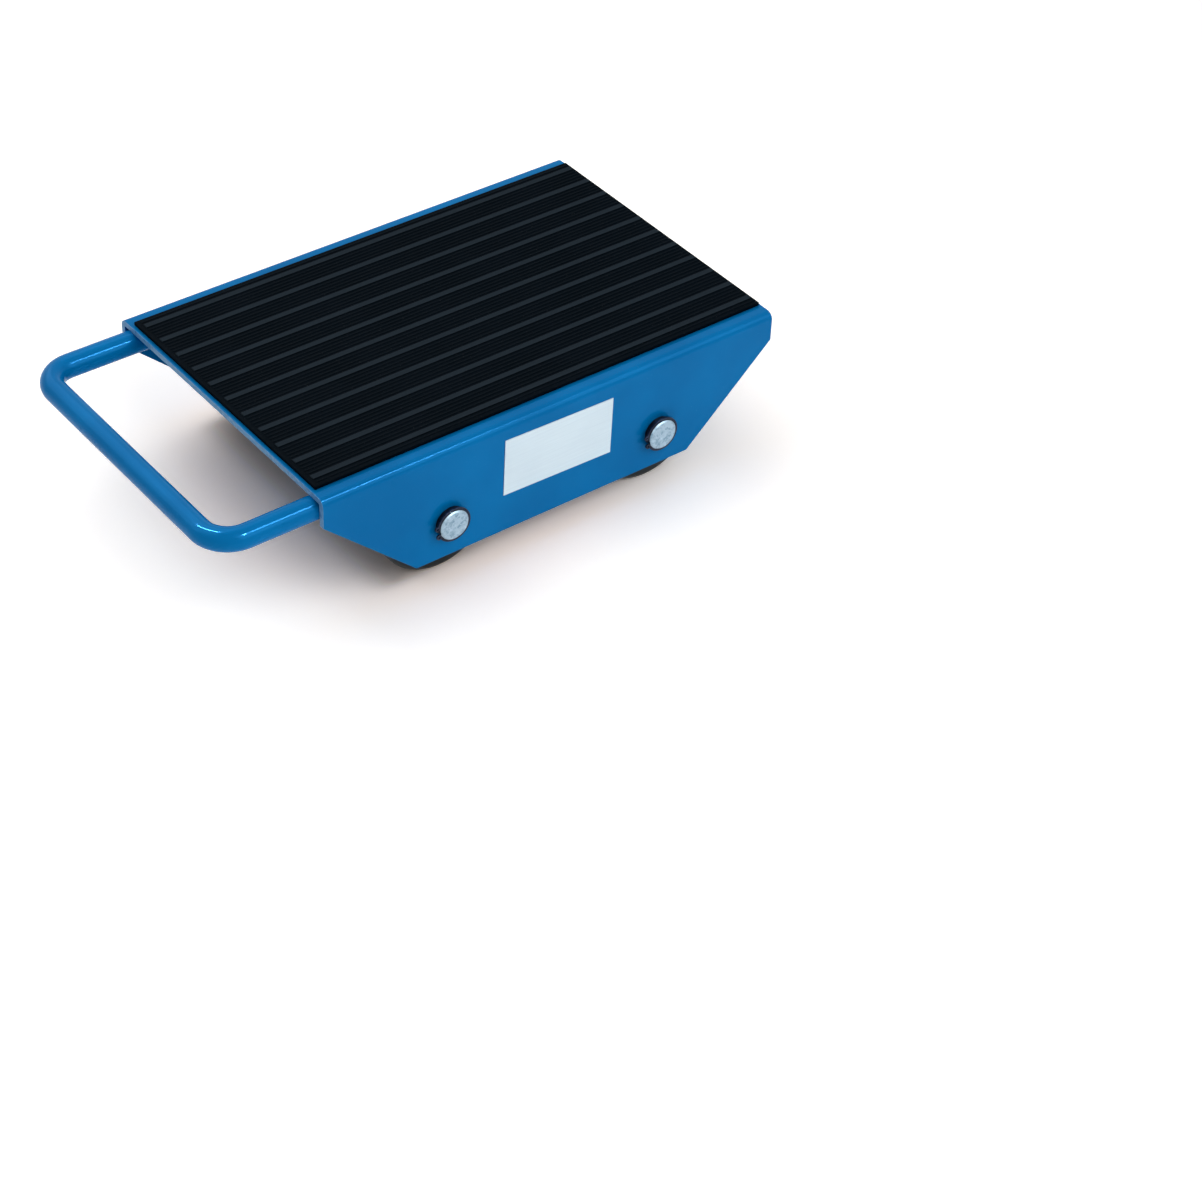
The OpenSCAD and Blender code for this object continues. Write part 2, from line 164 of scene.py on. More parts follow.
def makeBluePaint():
    material, sheet, place, feed, relief = newFinish("bluePaint", {
        "Metallic": 0.1, "Specular IOR Level": 0.05, "Specular Tint": bluePaint["tint"]})
    patches = sheet.noise(place, bluePaint["patchScale"], 3.0)
    colour = sheet.blend(sheet.between(patches, 0.35, 0.7), bluePaint["colour"], bluePaint["deep"])
    # the coat is thin on the cut faces and where it has drawn back from their edges; their pale tone is partly that
    # thin coat and partly a painted highlight on the rounded edges
    patchy = sheet.noise(place, 260, 3.0)
    thinCoatAndHighlight = sheet.attribute("edge") * sheet.between(patchy, 0.25, 0.75, 0.35, 1.0)
    colour = sheet.blend(thinCoatAndHighlight * 0.5, colour, bluePaint["edge"])
    # the cut faces take the pale tone, partly for their thin coat and partly as a painted reflection
    cut = sheet.attribute("cut") * sheet.between(patchy, 0.2, 0.8, 0.55, 0.9)
    colour = sheet.blend(cut, colour, bluePaint["edge"])
    specks = sheet.between(sheet.noise(place, bluePaint["speckScale"], 2.0, 0.6), 0.71, 0.78)
    colour = sheet.blend(specks * 0.3, colour, bluePaint["dustColour"])
    feed("Base Color", colour)
    gloss = sheet.between(sheet.noise(place, 38, 3.0), 0.3, 0.7, bluePaint["gloss"], bluePaint["gloss"] + 0.07)
    feed("Roughness", gloss + thinCoatAndHighlight * 0.1 + cut * 0.2 + specks * 0.2)
    peel = sheet.noise(place, bluePaint["peelScale"], 1.5, 0.4)
    feed("Normal", relief(peel, bluePaint["peelDepth"]))
    return material


# the weld's darker and lighter tones are painted shade in its hollows and painted glints on its crests
weldPaint = {"colour": tone(0, 114, 180), "paintedShade": tone(0, 92, 152), "paintedGlint": tone(40, 146, 206), "gloss": 0.13}


def makeWeldPaint():
    material, sheet, place, feed, relief = newFinish("weldPaint", {
        "Metallic": 0.14, "Specular IOR Level": 0.12, "Specular Tint": bluePaint["tint"]})
    # painted shade and painted glint: low values of this noise darken the bead, high values lighten it
    weldShadeAndGlint = sheet.noise(place, 420, 3.0, 0.55)
    colour = sheet.blend(sheet.between(weldShadeAndGlint, 0.35, 0.65), weldPaint["paintedShade"], weldPaint["colour"])
    colour = sheet.blend(sheet.between(weldShadeAndGlint, 0.6, 0.78) * 0.4, colour, weldPaint["paintedGlint"])
    feed("Base Color", colour)
    gloss = weldPaint["gloss"]
    feed("Roughness", sheet.between(sheet.noise(place, 200, 2.0), 0.3, 0.7, gloss, gloss + 0.14))
    feed("Normal", relief(sheet.noise(place, 700, 2.0, 0.5), 0.00003))
    return material


# the lighter tones on the rib tops are a painted sheen
matRubber = {
    "colour": tone(0, 7, 14), "worn": tone(2, 10, 18), "ribTop": tone(31, 41, 49), "fineTop": tone(6, 15, 22),
    "roughness": 0.55,
}


def makeMatRubber():
    material, sheet, place, feed, relief = newFinish("matRubber", {"Specular IOR Level": 0.015})
    cloudy = sheet.noise(place, 22, 3.0)
    drawn = sheet.noise(sheet.stretched(place, (60, 900, 900)), 1.0, 3.0)
    colour = sheet.blend(sheet.between(cloudy, 0.35, 0.7), matRubber["colour"], matRubber["worn"])
    # painted sheen: the tops of the broad and fine ribs are drawn lighter
    broad = sheet.attribute("ribTop")
    fine = sheet.attribute("fineTop")
    colour = sheet.blend(fine * sheet.between(drawn, 0.3, 0.7, 0.5, 1.0), colour, matRubber["fineTop"])
    colour = sheet.blend(broad * sheet.between(drawn, 0.25, 0.75, 0.8, 1.0), colour, matRubber["ribTop"])
    dust = sheet.between(sheet.noise(place, 1300, 2.0, 0.6), 0.66, 0.75)
    colour = sheet.blend(dust * 0.1, colour, tone(120, 126, 132))
    feed("Base Color", colour)
    rough = matRubber["roughness"]
    feed("Roughness", sheet.between(drawn, 0.3, 0.7, rough, rough + 0.16) - broad * 0.06)
    feed("Normal", relief(sheet.noise(place, 1500, 2.0, 0.6) + drawn * 0.6, 0.00004))
    return material


blackNylon = {
    "colour": tone(10, 19, 23), "bright": tone(17, 28, 32), "scuff": tone(70, 80, 84), "roughness": 0.32,
    "cutPitch": 2600, "grainScale": 1100, "tread": (0.0398, 0.0409),
}


def makeBlackNylon():
    material, sheet, place, feed, relief = newFinish("blackNylon", {
        "Specular IOR Level": 0.26, "Specular Tint": (0.86, 1.0, 1.0, 1.0)})
    across, along, upward = sheet.split(sheet.attribute("fromAxle", 1))
    radius = (across * across + upward * upward) ** 0.5
    pitch = blackNylon["cutPitch"]
    # turning marks run round the roller; they change only outwards and along it
    cut = sheet.noise(sheet.joined(along * pitch + across * 26, radius * pitch, upward * 26), 1.0, 2.0, 0.6)
    cloudy = sheet.noise(place, 34, 4.0, 0.55)
    colour = sheet.blend(sheet.between(cloudy, 0.35, 0.7), blackNylon["colour"], blackNylon["bright"])
    # the tread is rubbed in clouds of fine grain
    tread = sheet.between(radius, *blackNylon["tread"])
    grain = sheet.noise(place, blackNylon["grainScale"], 2.0, 0.6)
    rubbed = sheet.between(sheet.noise(place, 60, 4.0, 0.6), 0.5, 0.68) * sheet.between(grain, 0.48, 0.66)
    colour = sheet.blend(tread * rubbed * 0.3, colour, blackNylon["scuff"])
    feed("Base Color", colour)
    rough = blackNylon["roughness"]
    feed("Roughness", sheet.between(cut, 0.3, 0.7, rough, rough + 0.05) + tread * rubbed * 0.12)
    feed("Normal", relief(cut * 0.4 + grain, 0.00003))
    return material


zincPlate = {
    "colour": tone(166, 193, 211), "grey": tone(120, 151, 174), "pale": tone(196, 218, 232),
    "dark": tone(22, 24, 34), "roughness": 0.36,
}


def makeZincPlate():
    material, sheet, place, feed, relief = newFinish("zincPlate", {"Specular IOR Level": 0.5})
    flakes = sheet.node("ShaderNodeTexVoronoi", {"feature": "F1"}, {
        "Vector": place, "Scale": 520, "Detail": 1.0, "Randomness": 1.0}, 1)
    flakeTone = sheet.split(flakes)[0]
    clouds = sheet.noise(place, 240, 4.0, 0.62)
    mottle = sheet.between(clouds * 0.7 + flakeTone * 0.3, 0.3, 0.66)
    colour = sheet.blend(mottle, zincPlate["grey"], zincPlate["colour"])
    colour = sheet.blend(sheet.between(clouds, 0.56, 0.72) * 0.8, colour, zincPlate["pale"])
    # the round side under the end face is drawn dark
    darkened = sheet.attribute("oiled")
    colour = sheet.blend(darkened, colour, zincPlate["dark"])
    feed("Base Color", colour)
    feed("Metallic", 0.75 - mottle * 0.25)
    rough = zincPlate["roughness"]
    feed("Roughness", sheet.between(clouds, 0.3, 0.7, rough, rough + 0.18) - darkened * 0.08)
    feed("Normal", relief(clouds + flakeTone * 0.3, 0.00005))
    return material


clipSteel = {"colour": tone(10, 17, 33), "rubbed": tone(74, 84, 112), "roughness": 0.32}


def makeClipSteel():
    material, sheet, place, feed, relief = newFinish("clipSteel", {
        "Specular IOR Level": 0.32, "Specular Tint": (0.72, 0.84, 1.0, 1.0)})
    clouds = sheet.noise(place, 380, 3.0)
    colour = sheet.blend(sheet.between(clouds, 0.35, 0.7) * 0.35, clipSteel["colour"], clipSteel["rubbed"])
    # the edges are drawn in the lighter tone, partly as worn steel and partly as a painted highlight
    colour = sheet.blend(sheet.attribute("edge") * 0.8, colour, clipSteel["rubbed"])
    feed("Base Color", colour)
    feed("Metallic", 0.3 + sheet.attribute("edge") * 0.4)
    feed("Roughness", sheet.between(clouds, 0.3, 0.7, clipSteel["roughness"], clipSteel["roughness"] + 0.16))
    feed("Normal", relief(sheet.noise(place, 1800, 2.0), 0.00002))
    return material


bearingSteel = {"colour": tone(204, 208, 212), "shade": tone(168, 173, 180), "roughness": 0.2, "groundPitch": 5200}


def makeBearingSteel():
    material, sheet, place, feed, relief = newFinish("bearingSteel", {})
    across, along, upward = sheet.split(sheet.attribute("fromAxle", 1))
    radius = (across * across + upward * upward) ** 0.5
    pitch = bearingSteel["groundPitch"]
    ground = sheet.noise(sheet.joined(along * pitch, radius * pitch, upward * 12), 1.0, 2.0, 0.6)
    clouds = sheet.noise(place, 160, 3.0)
    feed("Base Color", sheet.blend(sheet.between(clouds, 0.35, 0.7), bearingSteel["colour"], bearingSteel["shade"]))
    feed("Metallic", 0.96 - sheet.between(clouds, 0.6, 0.75) * 0.1)
    feed("Roughness", sheet.between(ground, 0.3, 0.7, bearingSteel["roughness"], bearingSteel["roughness"] + 0.1))
    feed("Normal", relief(ground, 0.00001))
    return material


sealRubber = {"colour": tone(18, 18, 20), "bloom": tone(44, 44, 46), "roughness": 0.5}


def makeSealRubber():
    material, sheet, place, feed, relief = newFinish("sealRubber", {"Specular IOR Level": 0.4})
    clouds = sheet.noise(place, 120, 4.0, 0.6)
    grain = sheet.noise(place, 1700, 2.0, 0.6)
    bloomed = sheet.between(clouds, 0.45, 0.75) * 0.6
    feed("Base Color", sheet.blend(bloomed, sealRubber["colour"], sealRubber["bloom"]))
    feed("Roughness", sheet.between(clouds, 0.3, 0.7, sealRubber["roughness"] - 0.08, sealRubber["roughness"] + 0.12))
    feed("Normal", relief(grain, 0.00003))
    return material


cageBrass = {"colour": tone(186, 152, 84), "dull": tone(140, 110, 58), "roughness": 0.3}


def makeCageBrass():
    material, sheet, place, feed, relief = newFinish("cageBrass", {})
    clouds = sheet.noise(place, 190, 4.0, 0.6)
    feed("Base Color", sheet.blend(sheet.between(clouds, 0.35, 0.7), cageBrass["colour"], cageBrass["dull"]))
    feed("Metallic", 0.95 - sheet.between(clouds, 0.5, 0.8) * 0.15)
    feed("Roughness", sheet.between(clouds, 0.3, 0.7, cageBrass["roughness"], cageBrass["roughness"] + 0.15))
    feed("Normal", relief(sheet.noise(place, 1500, 2.0), 0.00002))
    return material


bareLabel = {"colour": tone(216, 236, 246), "shade": tone(202, 222, 234), "roughness": 0.32}


def makeBareLabel():
    material, sheet, place, feed, relief = newFinish("bareLabel", {"Specular IOR Level": 0.5})
    brushed = sheet.noise(sheet.stretched(place, (30, 900, 2600), (0, math.radians(1.3), 0)), 1.0, 3.0, 0.6)
    clouds = sheet.noise(place, 30, 3.0)
    colour = sheet.blend(sheet.between(brushed, 0.3, 0.7) * 0.5, bareLabel["colour"], bareLabel["shade"])
    colour = sheet.blend(sheet.attribute("edge") * 0.7, colour, tone(150, 160, 172))
    feed("Base Color", sheet.blend(sheet.between(clouds, 0.35, 0.7) * 0.35, colour, bareLabel["shade"]))
    feed("Metallic", sheet.between(brushed, 0.3, 0.7, 0.12, 0.3))
    feed("Roughness", sheet.between(brushed, 0.3, 0.7, bareLabel["roughness"], bareLabel["roughness"] + 0.12))
    feed("Normal", relief(brushed, 0.000008))
    return material


finishes = {
    "bluePaint": makeBluePaint(), "weldPaint": makeWeldPaint(), "matRubber": makeMatRubber(),
    "blackNylon": makeBlackNylon(), "zincPlate": makeZincPlate(), "clipSteel": makeClipSteel(),
    "bearingSteel": makeBearingSteel(), "sealRubber": makeSealRubber(), "cageBrass": makeCageBrass(),
    "bareLabel": makeBareLabel(),
}
print("finishes made:", len(finishes))


# meshes

def settled(piece):
    # the piece with its modifiers worked into a plain mesh
    bpy.context.view_layer.update()
    graph = bpy.context.evaluated_depsgraph_get()
    mesh = bpy.data.meshes.new_from_object(piece.evaluated_get(graph), preserve_all_data_layers=True, depsgraph=graph)
    piece.modifiers.clear()
    piece.data = mesh
    mesh.name = piece.name
    return piece


def linked(name, mesh):
    piece = bpy.data.objects.new(name, mesh)
    bpy.context.scene.collection.objects.link(piece)
    return piece


def evened(piece):
    # smooth shading whose flat faces stay flat
    for face in piece.data.polygons:
        face.use_smooth = True
    even = piece.modifiers.new("even", "WEIGHTED_NORMAL")
    even.mode = "FACE_AREA"
    even.weight = 80
    even.keep_sharp = True
    return settled(piece)


def fitted(piece, finishName, body, *nodes):
    # the finished piece takes its material, its body and the place of the nodes it stands for
    piece.data.materials.clear()
    piece.data.materials.append(finishes[finishName])
    for face in piece.data.polygons:
        face.material_index = 0
    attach(piece, body)
    if nodes:
        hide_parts(*nodes)
    return piece


def roundEdges(solid, width, steps, sharp=30):
    # rounds every edge sharper than the angle and marks the rounding in the edge attribute
    solid.normal_update()
    rims = [e for e in solid.edges if len(e.link_faces) == 2 and e.calc_face_angle(0) > math.radians(sharp)]
    made = bmesh.ops.bevel(solid, geom=rims, offset=width, offset_type="OFFSET", segments=steps, profile=0.5,
                           affect="EDGES", clamp_overlap=True)
    worn = solid.verts.layers.float.new("edge")
    rounding = set(made["faces"])
    for corner in solid.verts:
        corner[worn] = 1.0 if corner.link_faces and all(f in rounding for f in corner.link_faces) else 0.0


def cadPlate(name, node, width, steps=3, cutFaces=None):
    # a copy of a plate from the frame with whole faces and rounded edges; cutFaces picks its cut faces
    solid = bmesh.new()
    solid.from_mesh(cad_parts[node].data)
    bmesh.ops.remove_doubles(solid, verts=solid.verts, dist=0.000002)
    bmesh.ops.dissolve_limit(solid, angle_limit=math.radians(0.4), verts=solid.verts, edges=solid.edges)
    roundEdges(solid, width * mm, steps)
    if cutFaces:
        solid.normal_update()
        marked = solid.verts.layers.float.new("cut")
        for face in solid.faces:
            if cutFaces(face):
                for corner in face.verts:
                    corner[marked] = 1.0
    mesh = bpy.data.meshes.new(name)
    solid.to_mesh(mesh)
    solid.free()
    return evened(linked(name, mesh))


def eased(outline, steps=4):
    # a closed outline of (radius, along, rounding) with its corners rounded, as (radius, along)
    points = [Vector(p[:2]) for p in outline]
    result = []
    for i, point in enumerate(points):
        rounding = outline[i][2] if len(outline[i]) > 2 else 0
        before, after = points[i - 1] - point, points[(i + 1) % len(points)] - point
        if rounding <= 0 or before.length < 1e-6 or after.length < 1e-6:
            result.append(point)
            continue
        angle = before.angle(after)
        if angle > math.radians(175):
            result.append(point)
            continue
        reach = min(rounding / math.tan(angle / 2), 0.48 * before.length, 0.48 * after.length)
        radius = reach * math.tan(angle / 2)
        middle = point + (before.normalized() + after.normalized()).normalized() * (radius / math.sin(angle / 2))
        first = point + before.normalized() * reach - middle
        last = point + after.normalized() * reach - middle
        sweep = math.pi - angle
        for k in range(steps + 1):
            t = k / steps
            result.append(middle + (math.sin((1 - t) * sweep) * first + math.sin(t * sweep) * last) / math.sin(sweep))
    return [(p[0], p[1]) for p in result]


def turned(name, outlines, centre, steps=96, marked=None):
    # rings turned round the axle through centre (x, z), from closed outlines in mm
    solid = bmesh.new()
    space = solid.verts.layers.float_vector.new("fromAxle")
    oiled = solid.verts.layers.float.new("oiled")
    turns = [2 * math.pi * k / steps for k in range(steps)]
    for outline in outlines:
        rows = []
        for radius, along in outline:
            dark = marked(radius, along) if marked else 0.0
            if radius < 1e-6:
                pole = solid.verts.new((centre[0] * mm, along * mm, centre[1] * mm))
                pole[space] = Vector((0, along * mm, 0))
                pole[oiled] = dark
                rows.append([pole])
                continue
            row = []
            for turn in turns:
                local = Vector((radius * math.cos(turn), along, radius * math.sin(turn))) * mm
                corner = solid.verts.new(local + Vector((centre[0], 0, centre[1])) * mm)
                corner[space] = local
                corner[oiled] = dark
                row.append(corner)
            rows.append(row)
        for i in range(len(rows)):
            low, high = rows[i - 1], rows[i]
            for k in range(steps):
                n = (k + 1) % steps
                if len(low) == 1 and len(high) == 1:
                    break
                if len(low) == 1:
                    solid.faces.new((low[0], high[n], high[k]))
                elif len(high) == 1:
                    solid.faces.new((low[k], low[n], high[0]))
                else:
                    solid.faces.new((low[k], low[n], high[n], high[k]))
    bmesh.ops.recalc_face_normals(solid, faces=solid.faces)
    mesh = bpy.data.meshes.new(name)
    solid.to_mesh(mesh)
    solid.free()
    return evened(linked(name, mesh))


def inBay(outline, side):
    # an outline drawn for the bay at +Y, moved to the given bay
    return [(p[0], p[1] * sides[side]) for p in outline]


def newTree(name, sizes):
    # an empty Geometry Nodes tree with named inputs, and a function that hands out its inputs
    tree = bpy.data.node_groups.new(name, "GeometryNodeTree")
    tree.interface.new_socket("Geometry", in_out="INPUT", socket_type="NodeSocketGeometry")
    kinds = {float: "NodeSocketFloat", int: "NodeSocketInt"}
    for label, value in sizes.items():
        if isinstance(value, bpy.types.Material):
            kind = "NodeSocketMaterial"
        elif isinstance(value, bpy.types.Object):
            kind = "NodeSocketObject"
        else:
            kind = kinds[type(value)]
        tree.interface.new_socket(label, in_out="INPUT", socket_type=kind)
    tree.interface.new_socket("Geometry", in_out="OUTPUT", socket_type="NodeSocketGeometry")
    sheet = Sheet(tree)
    source = tree.nodes.new("NodeGroupInput")
    return sheet, lambda label: Wire(sheet, source.outputs[label])


def endTree(sheet, geometry, material):
    # whole meshes and their material, which is what a tree hands on
    real = sheet.node("GeometryNodeRealizeInstances", {}, {"Geometry": geometry})
    smooth = sheet.node("GeometryNodeSetShadeSmooth", {}, {0: real, 2: True})
    final = sheet.node("GeometryNodeSetMaterial", {}, {"Geometry": smooth, "Material": material})
    out = sheet.tree.nodes.new("NodeGroupOutput")
    sheet.tree.links.new(final.socket, out.inputs[0])


def grown(piece, sheet, sizes):
    # runs a tree on the piece, with its inputs set by their identifiers, and keeps the plain mesh
    step = piece.modifiers.new("grown", "NODES")
    step.node_group = sheet.tree
    for item in sheet.tree.interface.items_tree:
        if item.item_type == "SOCKET" and item.in_out == "INPUT" and item.name in sizes:
            step[item.identifier] = sizes[item.name]
    return settled(piece)


def lineMesh(name, lines):
    # loose edges through the given points, in mm
    points, edges = [], []
    for line in lines:
        start = len(points)
        points += [Vector(p) * mm for p in line]
        edges += [(start + i, start + i + 1) for i in range(len(line) - 1)]
    mesh = bpy.data.meshes.new(name)
    mesh.from_pydata(points, edges, [])
    return mesh


# painted plates

plates = {"deckEdge": 0.45, "webEdge": 0.5, "stiffenerEdge": 0.4, "endDepth": 22}


def deckEnd(face):
    # the sheared ends of the deck and of the flanges, down to their slopes
    return abs(face.normal.x) > 0.9 and face.calc_center_median().z > (skate["deckZ"] - plates["endDepth"]) * mm


deckPlate = cadPlate("deckChannel", "deck_channel", plates["deckEdge"], 3, deckEnd)
fitted(deckPlate, "bluePaint", "chassis", "deck_channel")
fitted(cadPlate("centreWeb", "centre_web", plates["webEdge"]), "bluePaint", "chassis", "centre_web")
for side in sides:
    fitted(cadPlate("crossPlate" + side.capitalize(), "stiffener_" + side, plates["stiffenerEdge"]),
           "bluePaint", "chassis", "stiffener_" + side)
print("plates made")


# pull handle, swept along its bent line

handle = {"Bar radius": 7.5 * mm, "Bend radius": 19 * mm, "Bend steps": 28, "Round steps": 64}
handlePlace = {"legY": 100, "barX": -193, "z": 82.5, "legEndX": -102.5, "endEdge": 0.6}


def makeHandle():
    sizes = dict(handle, Material=finishes["bluePaint"])
    sheet, size = newTree("bentBar", sizes)
    line = sheet.node("GeometryNodeMeshToCurve", {}, {"Mesh": size("Geometry")})
    bent = sheet.node("GeometryNodeFilletCurve", {"mode": "POLY"}, {
        "Curve": line, "Count": size("Bend steps"), "Radius": size("Bend radius")})
    ring = sheet.node("GeometryNodeCurvePrimitiveCircle", {"mode": "RADIUS"}, {
        "Resolution": size("Round steps"), "Radius": size("Bar radius")})
    bar = sheet.node("GeometryNodeCurveToMesh", {}, {"Curve": bent, "Profile Curve": ring, "Fill Caps": True})
    endTree(sheet, bar, size("Material"))
    place = handlePlace
    route = [(place["legEndX"], place["legY"], place["z"]), (place["barX"], place["legY"], place["z"]),
             (place["barX"], -place["legY"], place["z"]), (place["legEndX"], -place["legY"], place["z"])]
    piece = grown(linked("pullHandle", lineMesh("handleLine", [route])), sheet, sizes)
    solid = bmesh.new()
    solid.from_mesh(piece.data)
    bmesh.ops.remove_doubles(solid, verts=solid.verts, dist=0.000002)
    bmesh.ops.recalc_face_normals(solid, faces=solid.faces)
    roundEdges(solid, place["endEdge"] * mm, 3, 60)
    solid.to_mesh(piece.data)
    solid.free()
    return evened(piece)


fitted(makeHandle(), "bluePaint", "chassis", "pull_handle")
print("handle made")


# deck mat: a slab with broad and fine ribs set out by their pitch

deckMat = {
    "Broad ribs": 11, "Broad pitch": 18.36 * mm, "Fine lines": 64, "Fine pitch": 3.06 * mm, "Lines in a gap": 6,
}
matShape = {
    "frontX": -128, "rearX": 199, "halfWidth": 100, "base": 2.4, "ribHeight": 0.6, "lip": 3.0,
    "broadWidth": 4.2, "fineWidth": 1.4, "fineHeight": 0.4, "sunk": 0.4, "edge": 0.45, "rearEase": 1.0,
}


def ribShape(name, width, height, rounding, arcs, top):
    # one rib along X with rounded shoulders and eased ends, its foot sunk into the slab
    half = width / 2
    across = [(-half - 0.1, -matShape["sunk"]), (-half, 0.0)]
    for k in range(arcs + 1):
        turn = math.pi / 2 * k / arcs
        across.append((-half + rounding * (1 - math.cos(turn)), height - rounding * (1 - math.sin(turn))))
    across += [(-y, z) for y, z in reversed(across)]
    length = matShape["rearX"] - matShape["frontX"] - matShape["lip"] - matShape["rearEase"]
    stations = [(0.0, 0.0), (0.05, 0.55), (0.2, 0.85), (0.5, 1.0)]
    stations += [(length - 0.4, 1.0), (length - 0.12, 0.9), (length, 0.6)]
    solid = bmesh.new()
    # the rib's top is marked for the mat's painted sheen
    marked = solid.verts.layers.float.new(top)
    rows = []
    for x, share in stations:
        row = []
        for y, z in across:
            corner = solid.verts.new(Vector((x, y, z * share if z > 0 else z)) * mm)
            corner[marked] = 1.0 if z > height * 0.9 else 0.0
            row.append(corner)
        rows.append(row)
    for low, high in zip(rows, rows[1:]):
        for i in range(len(low) - 1):
            solid.faces.new((low[i], high[i], high[i + 1], low[i + 1]))
        solid.faces.new((low[-1], high[-1], high[0], low[0]))
    solid.faces.new(rows[0])
    solid.faces.new(rows[-1])
    bmesh.ops.recalc_face_normals(solid, faces=solid.faces)
    mesh = bpy.data.meshes.new(name)
    solid.to_mesh(mesh)
    solid.free()
    return linked(name, mesh)


def makeDeckMat():
    shape = matShape
    top = skate["deckZ"] + shape["base"]
    broad = ribShape("broadRib", shape["broadWidth"], shape["ribHeight"], 0.4, 4, "ribTop")
    fine = ribShape("fineRib", shape["fineWidth"], shape["fineHeight"], 0.4, 3, "fineTop")
    sizes = dict(deckMat, Material=finishes["matRubber"])
    sizes["Broad rib"] = broad
    sizes["Fine rib"] = fine
    sheet, size = newTree("ribbedMat", sizes)

    def ribs(count, pitch, shapeName, drop=None):
        # a row of points across the mat, each with a rib that runs along it
        start = (count - 1) * pitch * -0.5
        row = sheet.node("GeometryNodeMeshLine", {"mode": "OFFSET"}, {
            "Count": count,
            "Start Location": sheet.joined((shape["frontX"] + shape["lip"]) * mm, start, top * mm),
            "Offset": sheet.joined(0.0, pitch, 0.0)})
        if drop is not None:
            row = sheet.node("GeometryNodeDeleteGeometry", {"domain": "POINT"}, {"Geometry": row, "Selection": drop})
        shapeIn = sheet.node("GeometryNodeObjectInfo", {}, {"Object": size(shapeName)}, 4)
        return sheet.node("GeometryNodeInstanceOnPoints", {}, {"Points": row, "Instance": shapeIn})

    # fine lines that would touch a broad rib are left out
    place = sheet.node("GeometryNodeInputIndex") + 4
    inGap = place.worked("FLOORED_MODULO", place, size("Lines in a gap"))
    beside = inGap.worked("COMPARE", inGap, 0.0, 0.1) + inGap.worked("COMPARE", inGap, 5.0, 0.1)
    broadRow = ribs(size("Broad ribs"), size("Broad pitch"), "Broad rib")
    fineRow = ribs(size("Fine lines"), size("Fine pitch"), "Fine rib", beside)
    whole = sheet.node("GeometryNodeJoinGeometry", {}, {"Geometry": [size("Geometry"), broadRow, fineRow]})
    endTree(sheet, whole, size("Material"))

    low = Vector((shape["frontX"], -shape["halfWidth"], skate["deckZ"])) * mm
    high = Vector((shape["rearX"], shape["halfWidth"], top)) * mm
    slab = bmesh.new()
    bmesh.ops.create_cube(slab, size=1.0, matrix=Matrix.LocRotScale((low + high) / 2, None, high - low))
    roundEdges(slab, shape["edge"] * mm, 3)
    mesh = bpy.data.meshes.new("deckMat")
    slab.to_mesh(mesh)
    slab.free()
    piece = grown(linked("deckMat", mesh), sheet, sizes)
    for shapeObject in (broad, fine):
        bpy.data.objects.remove(shapeObject)
    return evened(piece)


fitted(makeDeckMat(), "matRubber", "chassis", "deck_mat")
print("mat made")


# bare label plate

labelEdge = 0.12
fitted(cadPlate("labelPlate", "label_plate", labelEdge, 2), "bareLabel", "chassis", "label_plate")


# welds: overlapping drops along each seam, melted together

weldBead = {"Drop pitch": 1.7 * mm, "Radius spread": 0.5 * mm}
weldWork = {"voxel": 0.42, "smooth": 3, "beadRadius": 3.2, "legBeadRadius": 2.7, "flatness": 0.62}
webWeld = {"topInset": 25, "offWeb": 1.4, "start": 1.5, "end": 18.5, "poolDrops": 9}
crossWeld = {"offFace": 1.4, "halfPlate": 1.5, "foot": 27, "head": 13, "spots": 5}
legWeld = {"front": -122.9, "rear": -104.9, "y": 92.9, "drop": 2.3, "spotX": -122.5, "spotY": -85.5, "spotDrops": 7}


